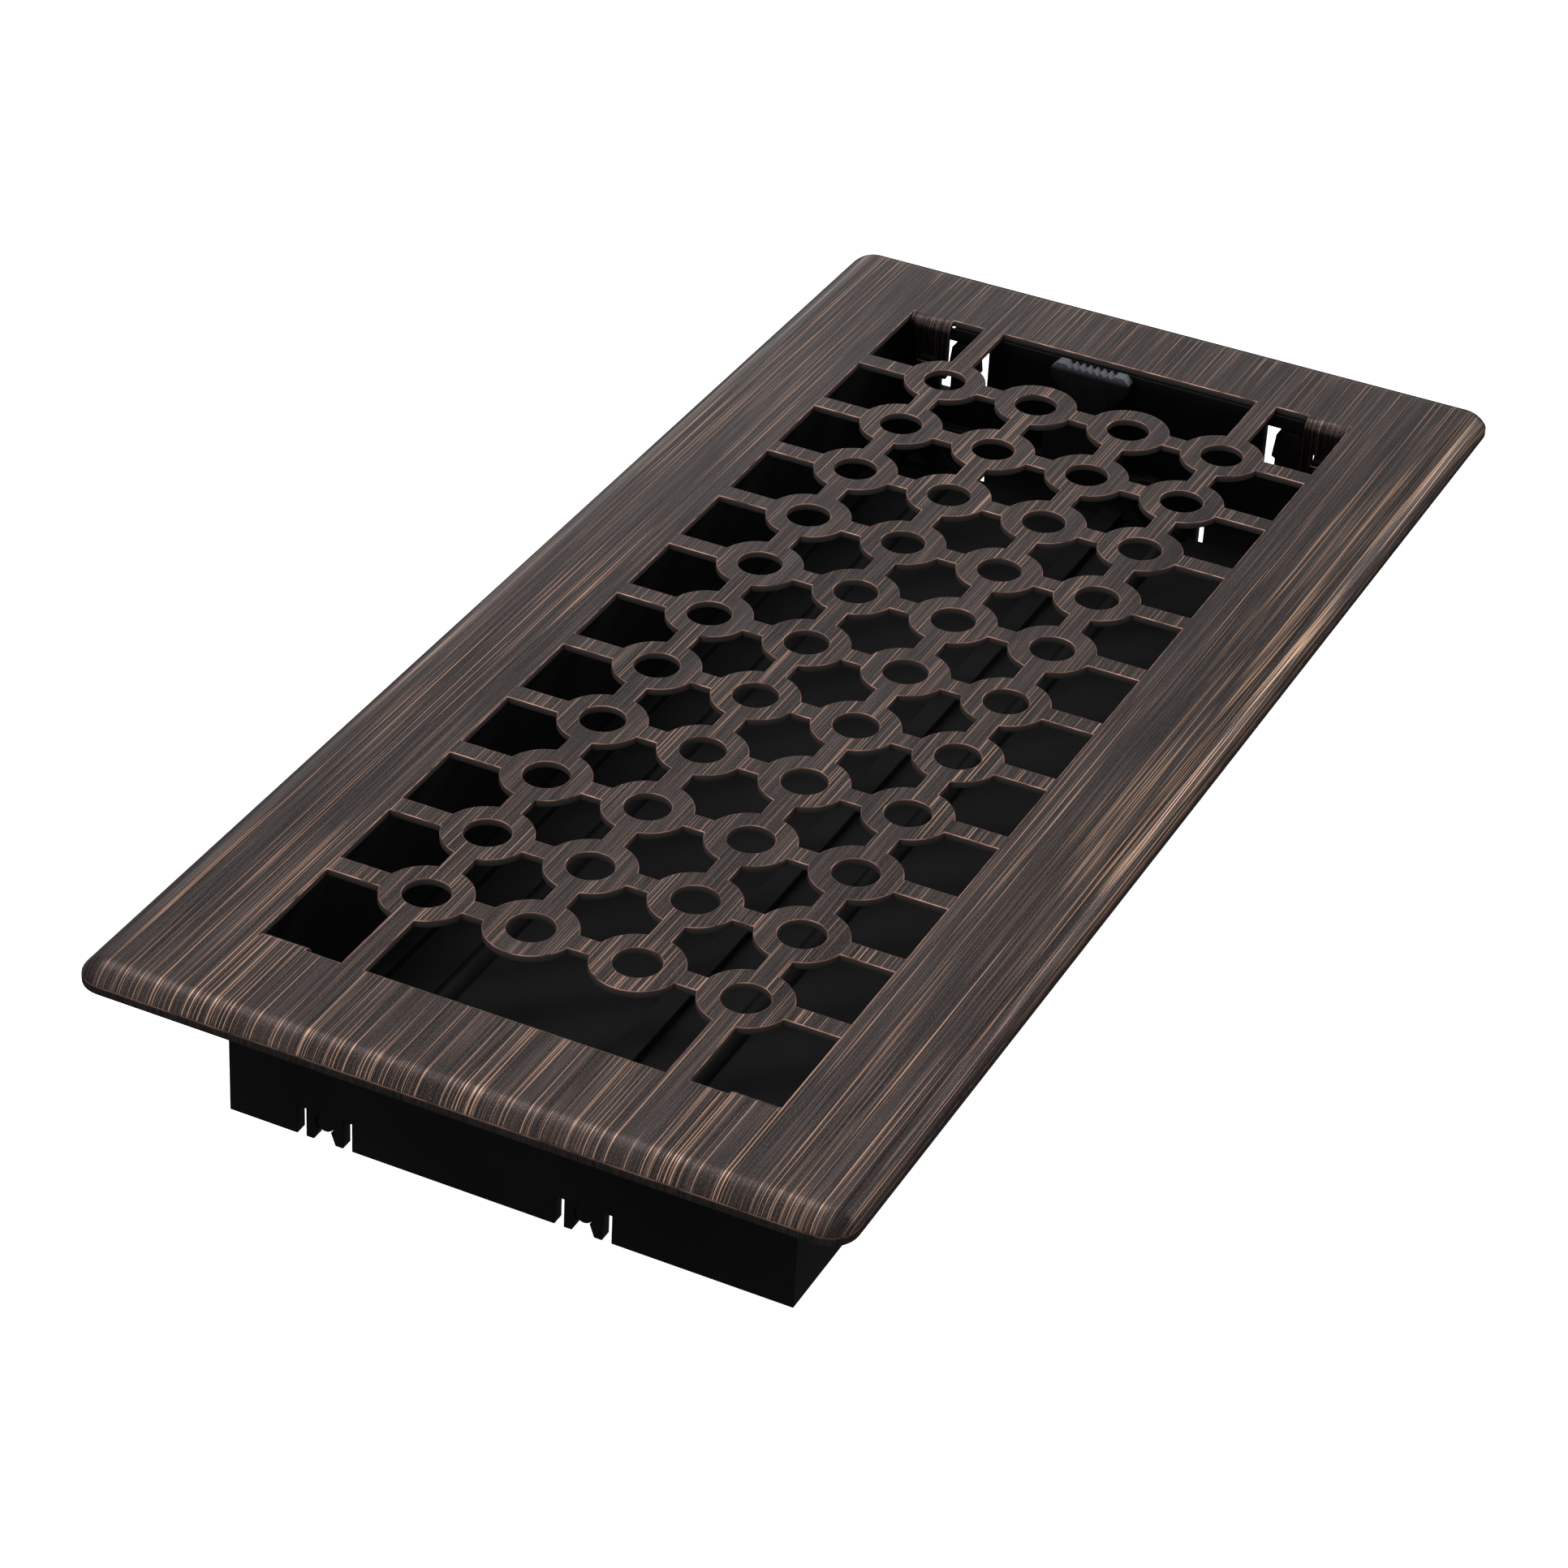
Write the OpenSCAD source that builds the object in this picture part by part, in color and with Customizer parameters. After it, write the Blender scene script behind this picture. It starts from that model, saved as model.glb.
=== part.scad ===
// Louvred floor register, nominal 4 x 10 inch duct opening.
// A stamped steel face with a lattice of rings drops into the floor opening. Under it hangs
// a plastic damper box with two louvre blades, which a thumb lever at one end turns together.
//
// Frame: the origin is the centre of the face's underside, level with the floor.
// +X runs along the length towards the thumb lever, +Y across the width, +Z up.
// The blades are drawn closed, with the lever at the +Y end of its travel.

/* [Face plate] */
// Overall length of the face
face_l = 285.75; // [270:0.25:345]
// Overall width of the face
face_w = 133.35; // [125:0.05:161]
// Thickness of the steel sheet
sheet_t = 1.3; // [0.9:0.05:1.6]
// Height of the face's top above the floor
rim_h = 4.2; // [3.4:0.1:5.1]
// Outside radius of the rolled edge
roll_r = 5.6; // [5.2:0.1:6.8]
// How far in from the rim the roll starts
roll_run = 4.8; // [4:0.1:4.9]
// Radius of the corners where the roll starts, seen from above
flat_corner_r = 0.2; // [0.1:0.1:6]

/* [Ring lattice] */
// Rings along the length
ring_rows = 11; // [9:1:12]
// Rings across the width
ring_cols = 4; // [3:1:4]
// Outside diameter of a ring
ring_d = 15.6; // [13:0.1:17.5]
// Diameter of the hole in a ring
hole_d = 8; // [6.5:0.1:9.6]
// Width of the bars that join the rings
bar_w = 4; // [3.3:0.1:4.8]
// From the end of the window to the middle of the last row of rings
end_gap = 22.95; // [20:0.05:27.5]
// From the side of the window to the middle of the outer column of rings
side_gap = 17.1; // [14:0.1:20.5]

/* [Damper box] */
// Outside length of the box
box_l = 246.5; // [230:0.5:250]
// Outside width of the box
box_w = 100.7; // [92:0.1:101]
// Depth of the box below the floor
box_depth = 30.9; // [28:0.1:38]
// Thickness of the box walls
wall = 2.4; // [2:0.1:2.9]
// How far the face reaches in over the side walls
side_lap = 2.5; // [2:0.1:3]
// Width of the ledges that the blades close against
ledge_w = 2; // [1.7:0.1:2.4]

/* [Face tabs] */
// Width of a bent tab
tab_w = 8.3; // [7:0.1:10]
// Depth of a tab below the top of the face
tab_drop = 12; // [10:0.5:14.5]
// Inside radius of the tab's bend
bend_r = 1; // [0.8:0.1:1.2]
// Gap between a tab and the box
tab_fit = 0.15; // [0.1:0.05:0.3]
// Width of the catch hole in a tab
catch_w = 4; // [3.3:0.1:4.8]

/* [Blades] */
// Thickness of a blade
blade_t = 1.6; // [1.3:0.1:1.9]
// From the pivot to the blade's short edge
short_side = 14.6; // [13:0.1:16]
// Height of the pivots above the bottom of the box
pivot_h = 3.6; // [3.5:0.1:4.3]
// Width of the raised lip on the short edge
lip_w = 2.6; // [2.2:0.1:3]
// How far one blade laps the next
lap = 1.55; // [1.3:0.05:1.8]
// Gap between a closed blade and what it closes against
shut_gap = 0.3; // [0.2:0.05:0.4]
// Gap between a swinging blade's edge and the side wall
swing_gap = 0.6; // [0.5:0.05:0.75]
// Diameter of the pivot pins
pin_d = 3.2; // [2.7:0.1:3.4]
// Diameter of the stiffening rib along the pivot line
rib_d = 4.4; // [3.7:0.1:5.2]
// Radial clearance of every pin in its hole
pin_fit = 0.06; // [0.03:0.01:0.1]

/* [Linkage] */
// From a blade's pivot to its crank pin
crank_r = 9.6; // [8:0.1:10.5]
// Angle that the blades turn through, in degrees
open_angle = 84; // [70:1:88]
// Diameter of the crank pins
crank_pin_d = 3; // [2.5:0.1:3.4]
// Thickness of a crank arm
crank_t = 2.3; // [1.9:0.1:2.8]
// Thickness of the thumb lever
lever_t = 2.4; // [2:0.1:2.9]
// Gap on each side of the thumb lever
lever_play = 0.5; // [0.4:0.05:0.6]
// Width of the thumb grip
grip_w = 16.2; // [13.5:0.1:19]
// Depth of the grip's top below the top of the face
grip_sunk = 0.75; // [0.5:0.05:1.2]
// Teeth on the thumb grip
grip_teeth = 6; // [4:1:7]
// Width of one tooth
tooth_w = 1.45; // [1.2:0.05:1.6]

/* [Hidden] */
$fn = 64;
weld = 0.4;                                   // overlap that joins shapes of one moulding
over = 1;                                     // how far a cut runs past the face it cuts

// Levels
under_z = rim_h - sheet_t;                    // underside of the flat of the face
box_z = -box_depth;                           // bottom of the box
pivot_z = box_z + pivot_h;                    // pivot line of both blades

// Inside of the box
in_x = box_l / 2 - wall;
in_y = box_w / 2 - wall;

// Window in the face
window_l = 2 * (in_x - tab_fit + bend_r);
window_w = 2 * (in_y - side_lap);
pitch_x = (window_l - 2 * end_gap) / (ring_rows - 1);
pitch_y = (window_w - 2 * side_gap) / (ring_cols - 1);
row_x = [for (i = [0 : ring_rows - 1]) (i - (ring_rows - 1) / 2) * pitch_x];
col_y = [for (j = [0 : ring_cols - 1]) (j - (ring_cols - 1) / 2) * pitch_y];

// Tabs stand in the four corners of the window
tab_side_gap = 0.2;                           // between a tab and the side of the window
tab_y = window_w / 2 - tab_side_gap - tab_w / 2;
tab_face_x = in_x - tab_fit - sheet_t;        // side of a tab that faces the window
catch_drop = 8;                               // top of the face to the middle of a catch hole
catch_z = rim_h - catch_drop;
catch_h = 2.4;                                // height of a catch hole
catch_play = 0.4;                             // how much smaller a catch is than its hole

// Blades: two alike, side by side, each with a short side towards +Y
long_side = in_y - swing_gap + lap / 2 - short_side;
left_y = in_y - swing_gap - short_side;
right_y = -in_y + swing_gap + long_side;
lip_rise = blade_t + shut_gap;                // bottom of the lip stands clear of the next blade
lever_x = in_x - lever_play - lever_t;        // near side of the lever
blade_end = lever_x - lever_play;             // lever end of the blades
blade_start = -in_x + lever_play;             // other end of the blades
pin_short = 0.2;                              // how far the pins stop inside the walls' faces
pin_out = box_l / 2 - pin_short;              // ends of the pivot pins
hub_d = pin_d + 3.2;                          // boss round a pivot pin

// Crank pins, seen from a pivot, with the blades closed
crank_dy = crank_r * sin(open_angle / 2);
crank_dz = crank_r * cos(open_angle / 2);
tip_gap = 0.45;                               // between a crank pin and the end wall
crank_end = in_x - tip_gap;                   // tip of a crank pin
crank_eye_d = crank_pin_d + 2.6;              // boss round a crank pin
lever_eye_d = crank_pin_d + 3.8;              // boss round a hole in the lever

// Snap bearings in the end walls
bore_r = pin_d / 2 + pin_fit;
snap_squeeze = 1.05;                          // how much narrower the throat is than the pin
throat_w = pin_d - snap_squeeze;
throat_dip = 0.1;                             // how far the throat's straight sides stop in the bore
throat_z = sqrt(pow(bore_r, 2) - pow(throat_w / 2, 2)) - throat_dip;
mouth_w = pin_d + 0.7;                        // width of the mouth at the bottom edge
slot_in = pin_d / 2 + 1.8;                    // from the pivot to the near side of a relief slot
slot_w = 1.6;                                 // width of a relief slot
slot_top = 2;                                 // top of a relief slot above the pivot

// Spring tongues in the end walls, beside the tabs
tongue_in = 3.05;                             // from the side of a tab to the middle of a tongue
tongue_y = tab_y - tab_w / 2 - tongue_in;
tongue_gap_w = 10.4;                          // width of the cut-out that frees a tongue
tongue_z = -11.2;                             // root of a tongue
tongue_top = 0.3;                             // top of its cut-out

module at_corners(x, y) {
    for (sx = [0, 1])
        for (sy = [0, 1])
            mirror([sx, 0, 0])
                mirror([0, sy, 0])
                    translate([x, y, 0])
                        children();
}

// Turns a shape drawn in Y and Z to stand across the X axis, t thick
module across_x(t) {
    rotate([90, 0, 90])
        linear_extrude(t)
            children();
}

// ---- Face plate ----

// Half the width of the rim, rolled down to the floor: x runs outwards, y up
module roll_section() {
    intersection() {
        translate([0, rim_h - roll_r])
            difference() {
                circle(roll_r);
                circle(roll_r - sheet_t);
            }
        square([roll_run, rim_h]);
    }
}

module rolled_rim() {
    rim_corner_r = roll_run + flat_corner_r;
    straight_x = face_l - 2 * rim_corner_r;
    straight_y = face_w - 2 * rim_corner_r;
    for (s = [0, 1]) {
        mirror([0, s, 0])
            translate([-straight_x / 2, face_w / 2 - roll_run, 0])
                across_x(straight_x)
                    roll_section();
        mirror([s, 0, 0])
            translate([face_l / 2 - roll_run, straight_y / 2, 0])
                rotate([90, 0, 0])
                    linear_extrude(straight_y)
                        roll_section();
    }
    at_corners(straight_x / 2, straight_y / 2)
        rotate_extrude(angle = 90)
            translate([flat_corner_r, 0])
                roll_section();
}

module face_flat() {
    flat_l = face_l - 2 * roll_run;
    flat_w = face_w - 2 * roll_run;
    square([flat_l, flat_w - 2 * flat_corner_r], center = true);
    square([flat_l - 2 * flat_corner_r, flat_w], center = true);
    for (sx = [-1, 1])
        for (sy = [-1, 1])
            translate([sx * (flat_l / 2 - flat_corner_r), sy * (flat_w / 2 - flat_corner_r)])
                circle(flat_corner_r);
}

// Cross bars reach both sides. Only the outer lengthwise bars reach the ends.
module ring_lattice() {
    difference() {
        union() {
            for (x = row_x)
                translate([x, 0])
                    square([bar_w, window_w + 2 * weld], center = true);
            for (y = col_y) {
                outer = abs(y) > abs(col_y[0]) - pitch_y / 2;
                bar_l = outer ? window_l + 2 * weld : row_x[ring_rows - 1] - row_x[0];
                translate([0, y])
                    square([bar_l, bar_w], center = true);
            }
            for (x = row_x)
                for (y = col_y)
                    translate([x, y])
                        circle(d = ring_d);
        }
        for (x = row_x)
            for (y = col_y)
                translate([x, y])
                    circle(d = hole_d);
    }
}

// A tab bends down from the end of the window and hangs inside the box
module face_tab() {
    bend_out = bend_r + sheet_t;
    difference() {
        rotate([90, 0, 0])
            linear_extrude(tab_w, center = true) {
                intersection() {
                    translate([window_l / 2, rim_h - bend_out])
                        difference() {
                            circle(bend_out);
                            circle(bend_r);
                        }
                    translate([window_l / 2 - bend_out, rim_h - bend_out])
                        square(bend_out);
                }
                translate([window_l / 2, under_z])
                    square([weld, sheet_t]);
                translate([tab_face_x, rim_h - tab_drop])
                    square([sheet_t, tab_drop - bend_out]);
            }
        translate([tab_face_x - over, -catch_w / 2, catch_z - catch_h / 2])
            cube([sheet_t + 2 * over, catch_w, catch_h]);
    }
}

module face_plate() {
    color("#564b49") {
        translate([0, 0, under_z])
            linear_extrude(sheet_t) {
                difference() {
                    face_flat();
                    square([window_l, window_w], center = true);
                }
                ring_lattice();
            }
        rolled_rim();
        at_corners(0, tab_y)
            face_tab();
    }
}

// ---- Damper box ----

// Bore, lead-in mouth and relief slots that let the pin snap in from below
module snap_bearing_cut() {
    floor_y = -pivot_h - over;
    circle(bore_r);
    polygon([
        [-throat_w / 2, 0], [throat_w / 2, 0], [throat_w / 2, -throat_z],
        [mouth_w / 2, -pivot_h], [mouth_w / 2, floor_y],
        [-mouth_w / 2, floor_y], [-mouth_w / 2, -pivot_h], [-throat_w / 2, -throat_z]
    ]);
    for (s = [0, 1])
        mirror([s, 0])
            translate([slot_in, floor_y])
                square([slot_w, slot_top - floor_y]);
}

// Cut-out around a barbed spring tongue, rooted at the bottom
module tongue_cut() {
    shank = 2.5;                              // half widths, from the root up
    barb = 3.25;
    neck = 2.7;
    tip = 1.95;
    barb_z = tongue_z + 5.3;
    barb_under = 0.4;                         // height of the barb's underside
    tip_z = tongue_top - 0.4;
    tip_h = 1;
    difference() {
        translate([-tongue_gap_w / 2, tongue_z])
            square([tongue_gap_w, tongue_top - tongue_z]);
        polygon([
            [-shank, tongue_z - over], [shank, tongue_z - over],
            [shank, barb_z - barb_under], [barb, barb_z], [neck, tip_z - tip_h], [tip, tip_z],
            [-tip, tip_z], [-neck, tip_z - tip_h], [-barb, barb_z],
            [-shank, barb_z - barb_under]
        ]);
    }
}

// Everything cut through one end wall
module end_wall_cuts() {
    for (y = [left_y, right_y])
        translate([y, pivot_z])
            snap_bearing_cut();
    for (s = [0, 1])
        mirror([s, 0])
            translate([tongue_y, 0])
                tongue_cut();
}

// Wedge that the hole in a tab snaps over
module tab_catch() {
    nib_short = 0.1;                          // how far the nib stops inside the tab's face
    nib = sheet_t + tab_fit - nib_short;
    nib_w = catch_w - catch_play;
    nib_h = catch_h - catch_play;
    nib_lip = 0.6;                            // height of the nib's blunt end
    translate([in_x, nib_w / 2, catch_z - nib_h / 2])
        rotate([90, 0, 0])
            linear_extrude(nib_w)
                polygon([[weld, 0], [weld, nib_h], [0, nib_h], [-nib, nib_lip], [-nib, 0]]);
}

module damper_box() {
    bend_room = bend_r + 0.1;                 // depth of the notch that a tab's bend sits in
    notch_w = tab_w + 0.8;
    color("#0d0d0e") {
        difference() {
            translate([-box_l / 2, -box_w / 2, box_z])
                cube([box_l, box_w, under_z - box_z]);
            translate([-in_x, -in_y, box_z - over])
                cube([2 * in_x, 2 * in_y, under_z - box_z + 2 * over]);
            for (x = [-box_l / 2, in_x])
                translate([x - over, 0, 0])
                    across_x(wall + 2 * over)
                        end_wall_cuts();
            at_corners(in_x - over, tab_y)
                translate([0, -notch_w / 2, under_z - bend_room])
                    cube([wall + 2 * over, notch_w, bend_room + over]);
        }
        // the left blade's lip shuts on a low ledge, the right blade's edge under a high one
        translate([-in_x - weld, in_y - ledge_w, pivot_z - blade_t / 2])
            cube([2 * (in_x + weld), ledge_w + weld, blade_t]);
        translate([-in_x - weld, -in_y - weld, pivot_z + blade_t / 2 + shut_gap])
            cube([2 * (in_x + weld), ledge_w + weld, blade_t]);
        at_corners(0, tab_y)
            tab_catch();
    }
}

// ---- Blades ----

// Section of a blade across its length, about its pivot
module blade_section() {
    step = short_side - lip_w;
    translate([-long_side, -blade_t / 2])
        square([long_side + step, blade_t]);
    translate([step - blade_t, -blade_t / 2])
        square([blade_t, lip_rise + blade_t]);
    translate([step - blade_t, lip_rise - blade_t / 2])
        square([lip_w + blade_t, blade_t]);
    circle(d = rib_d);
}

module crank() {
    arm_w = 4.6;
    translate([blade_end - crank_t, 0, 0])
        across_x(crank_t) {
            circle(d = hub_d);
            translate([crank_dy, crank_dz])
                circle(d = crank_eye_d);
            rotate(-open_angle / 2)
                translate([-arm_w / 2, 0])
                    square([arm_w, crank_r]);
        }
    translate([blade_end - weld, crank_dy, crank_dz])
        rotate([0, 90, 0])
            cylinder(d = crank_pin_d, h = crank_end - blade_end + weld);
}

module louvre_blade() {
    translate([blade_start, 0, 0])
        across_x(blade_end - blade_start)
            blade_section();
    translate([-pin_out, 0, 0])
        rotate([0, 90, 0])
            cylinder(d = pin_d, h = 2 * pin_out);
    crank();
}

module left_blade() {
    color("#26272a")
        translate([0, left_y, pivot_z])
            louvre_blade();
}

module right_blade() {
    color("#26272a")
        translate([0, right_y, pivot_z])
            louvre_blade();
}

// ---- Thumb lever ----

// Link bar, upright and toothed grip, about the crank line midway along the travel
module lever_outline(eyes_y, top) {
    bar_h = lever_eye_d - 1.2;
    plate_w = 17;
    plate_h = 10.4;
    neck_w = 9;
    grip_h = 3.2;
    fan_h = 4.6;
    shoulder = 1.3;
    tooth_h = 0.8;
    plate_drop = 2;
    half = [
        [plate_w / 2, 0], [plate_w / 2, plate_h - plate_drop], [neck_w / 2, plate_h],
        [neck_w / 2, top - grip_h - fan_h], [grip_w / 2, top - grip_h],
        [grip_w / 2, top - shoulder], [grip_w / 2 - shoulder, top]
    ];
    other_half = [for (i = [len(half) - 1 : -1 : 0]) [-half[i][0], half[i][1]]];
    translate([eyes_y[1], -bar_h / 2])
        square([eyes_y[0] - eyes_y[1], bar_h]);
    for (y = eyes_y)
        translate([y, 0])
            circle(d = lever_eye_d);
    difference() {
        polygon(concat(half, other_half));
        for (i = [0 : grip_teeth])
            translate([(i - grip_teeth / 2) * tooth_w, top])
                polygon([[-tooth_w / 2, over], [-tooth_w / 2, 0], [0, -tooth_h],
                         [tooth_w / 2, 0], [tooth_w / 2, over]]);
    }
}

module thumb_lever() {
    link_z = pivot_z + crank_dz;
    eyes_y = [left_y, right_y];
    color("#2e2f32")
        translate([lever_x, crank_dy, link_z])
            across_x(lever_t)
                difference() {
                    lever_outline(eyes_y, rim_h - grip_sunk - link_z);
                    for (y = eyes_y)
                        translate([y, 0])
                            circle(d = crank_pin_d + 2 * pin_fit);
                }
}

face_plate();
damper_box();
left_blade();
right_blade();
thumb_lever();
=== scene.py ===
# %% [markdown]
# # A louvred floor register
# This lesson dresses a floor register: a stamped steel face with a lattice of rings, a black
# plastic damper box under it, two louvre blades and the thumb lever that turns them.
# The fixed frame comes first. It gives every piece its real size and place, in metres, with the
# origin at the middle of the face's underside, +X towards the lever and +Z up. Everything made
# below is fitted to it, so nothing has to be measured by eye.

import bmesh
import bpy
import math
from mathutils import Matrix, Vector


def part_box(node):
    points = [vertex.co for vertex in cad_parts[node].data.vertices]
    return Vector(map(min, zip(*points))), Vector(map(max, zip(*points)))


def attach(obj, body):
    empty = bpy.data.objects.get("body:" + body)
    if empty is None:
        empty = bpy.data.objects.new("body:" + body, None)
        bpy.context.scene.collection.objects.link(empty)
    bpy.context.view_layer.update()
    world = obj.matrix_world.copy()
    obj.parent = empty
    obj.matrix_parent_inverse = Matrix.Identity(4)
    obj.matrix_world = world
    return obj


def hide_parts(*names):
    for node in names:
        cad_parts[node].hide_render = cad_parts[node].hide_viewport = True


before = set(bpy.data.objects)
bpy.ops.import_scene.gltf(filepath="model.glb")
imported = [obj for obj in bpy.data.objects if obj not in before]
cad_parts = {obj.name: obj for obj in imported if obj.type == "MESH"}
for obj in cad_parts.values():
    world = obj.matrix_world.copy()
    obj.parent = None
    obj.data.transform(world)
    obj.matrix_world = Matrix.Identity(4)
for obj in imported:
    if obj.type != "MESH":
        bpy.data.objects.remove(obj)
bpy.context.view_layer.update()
MM = 0.001
TOUCHING = 0.001 * MM  # points closer than this are one point

# %% [markdown]
# ## Helpers
# Node trees can be drawn by hand or built in code. Code is used here, so one small function adds
# any node, sets its properties and wires its inputs. Colours are picked as sRGB hex values, the
# way a colour chart gives them, and one function turns them to the linear values that a renderer
# works in.


# %% Colours and nodes
def linear(hex_colour):
    """An sRGB colour such as "#564b49" as a linear RGBA tuple."""
    parts = [int(hex_colour[i : i + 2], 16) / 255 for i in (1, 3, 5)]
    return tuple(c / 12.92 if c <= 0.04045 else ((c + 0.055) / 1.055) ** 2.4
                 for c in parts) + (1.0,)


def add(tree, kind, inputs=None, **settings):
    """Adds a node. settings are its properties, and inputs maps a socket to a value or a link."""
    node = tree.nodes.new(kind)
    for name, value in settings.items():
        setattr(node, name, value)
    for key, value in (inputs or {}).items():
        for one in value if isinstance(value, list) else [value]:
            if isinstance(one, bpy.types.NodeSocket):
                tree.links.new(one, node.inputs[key])
            else:
                node.inputs[key].default_value = one
    return node


def new_material(name):
    material = bpy.data.materials.new(name)
    material.use_nodes = True
    return material, material.node_tree, material.node_tree.nodes["Principled BSDF"]


print("helpers ready")

# %% [markdown]
# ## The bronzed steel finish
# The face is pressed steel with an oil-rubbed bronze finish: a copper-coloured plating, blackened
# and then brushed along the length, so that thin copper lines show through a dark brown skin.
# The brushing was done on the flat blank, before its edges were rolled and its tabs were bent.
# A pattern on plain object coordinates would smear down the rolled sides, so the face carries its
# own attribute, "blank", which holds where each point lay on the flat blank. Every line then runs
# over the bends as it does on the real sheet. Its third number is how far the point lies past the
# start of the roll, because handling has rubbed the rim more than the middle.

# %% Oil-rubbed bronze: the brush marks
BRUSH_LENGTH = 95 * MM  # how far a brush mark runs before it fades
BRUSH_PITCH = 0.3 * MM  # from one bold brush mark to the next
GRAIN_PITCH = 0.16 * MM  # the finest grain, drawn a little coarser than real so that it shows
CLOUD_WIDTH = 11 * MM  # width of the lighter and darker bands
SPECK = 0.3 * MM  # pin-pricks of copper between the lines
SCRATCH_PITCH = 0.34 * MM  # later scratches, in a bundle along one rim
SCRATCH_TURN = math.radians(0.9)  # how far they run off the brushing

bronze, t, shader = new_material("oil_rubbed_bronze_brushed")
blank = add(t, "ShaderNodeAttribute", attribute_name="blank").outputs["Vector"]


def brushed(length, width, detail, seed, source=blank):
    """Noise pulled out along the brushing, as a socket. The seed slides it to a fresh stretch."""
    pulled = add(t, "ShaderNodeMapping", {"Vector": source, "Location": (seed, 2.7 * seed, 0),
                                          "Scale": (1 / length, 1 / width, 1)})
    noise = add(t, "ShaderNodeTexNoise", {"Vector": pulled.outputs[0], "Scale": 1.0,
                                          "Detail": detail, "Roughness": 0.6},
                noise_dimensions="2D")
    return noise.outputs[0]


grain = brushed(BRUSH_LENGTH * 0.5, GRAIN_PITCH, 3.0, 3.1)
bold = brushed(BRUSH_LENGTH, BRUSH_PITCH, 2.0, 11.7)
fine = brushed(BRUSH_LENGTH * 0.5, BRUSH_PITCH * 0.7, 2.0, 23.9)
cloud = brushed(BRUSH_LENGTH * 1.6, CLOUD_WIDTH, 1.0, 37.3)
speck = brushed(SPECK, SPECK, 1.0, 51.1)
askew = add(t, "ShaderNodeMapping", {"Vector": blank,
                                     "Rotation": (0, 0, SCRATCH_TURN)}).outputs[0]
scratch = brushed(BRUSH_LENGTH * 0.7, SCRATCH_PITCH, 1.0, 67.9, askew)
patch = brushed(BRUSH_LENGTH, 2 * CLOUD_WIDTH, 1.0, 71.3, askew)
print("brush marks every", BRUSH_PITCH / MM, "mm")

# %% Oil-rubbed bronze: how much of each mark shows, from 0 to 1
RUB_FROM, RUB_TO = -6 * MM, 4 * MM  # the extra wear sets in just before the roll
RUB_GAIN = 0.035  # how much wider it opens the bold lines
SCRATCH_FROM, SCRATCH_TO = -53 * MM, -60 * MM  # across the face, from its middle line
at = add(t, "ShaderNodeSeparateXYZ", {0: blank}).outputs
rubbed = add(t, "ShaderNodeMapRange", {"Value": at["Z"], "From Min": RUB_FROM, "From Max": RUB_TO,
                                       "To Max": RUB_GAIN}).outputs[0]
bold = add(t, "ShaderNodeMath", {0: bold, 1: rubbed}, operation="ADD").outputs[0]
# (low, high, most): noise under low shows nothing, and over high it shows as much as most
shown = [add(t, "ShaderNodeMapRange", {"Value": noise, "From Min": low, "From Max": high,
                                       "To Max": most}).outputs[0]
         for noise, low, high, most in (
             (grain, 0.3, 0.7, 1.0), (cloud, 0.35, 0.68, 0.55), (fine, 0.56, 0.68, 0.6),
             (speck, 0.62, 0.8, 0.5), (bold, 0.635, 0.7, 0.85), (scratch, 0.61, 0.69, 0.8),
             (patch, 0.36, 0.52, 1.0), (at["Y"], SCRATCH_FROM, SCRATCH_TO, 1.0))]
in_grain, in_cloud, in_fine, in_speck, in_bold, in_scratch, in_patch, in_band = shown
for limit in (in_band, in_patch):
    in_scratch = add(t, "ShaderNodeMath", {0: in_scratch, 1: limit},
                     operation="MULTIPLY").outputs[0]
print("layers of marks:", len(shown))

# %% Oil-rubbed bronze: colour, gloss and relief
# Metal under a thin dark skin: satin, brown-black, with copper showing in the deepest marks.
# Each layer of colour is laid over the one before it.
skin = linear("#171414")
for amount, colour in ((in_grain, "#544b4a"), (in_cloud, "#1c1919"), (in_fine, "#826e67"),
                       (in_speck, "#8f7a72"), (in_bold, "#cda48c"), (in_scratch, "#d2ab84")):
    skin = add(t, "ShaderNodeMix", {0: amount, 6: skin, 7: linear(colour)},
               data_type="RGBA").outputs[2]
t.links.new(skin, shader.inputs["Base Color"])
shader.inputs["Metallic"].default_value = 0.9
satin = add(t, "ShaderNodeMapRange", {"Value": grain, "From Min": 0.2, "From Max": 0.8,
                                      "To Min": 0.32, "To Max": 0.45})
t.links.new(satin.outputs[0], shader.inputs["Roughness"])
relief = add(t, "ShaderNodeBump", {"Height": grain, "Strength": 0.35, "Distance": 0.03 * MM})
t.links.new(relief.outputs[0], shader.inputs["Normal"])
print("made", bronze.name)
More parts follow.
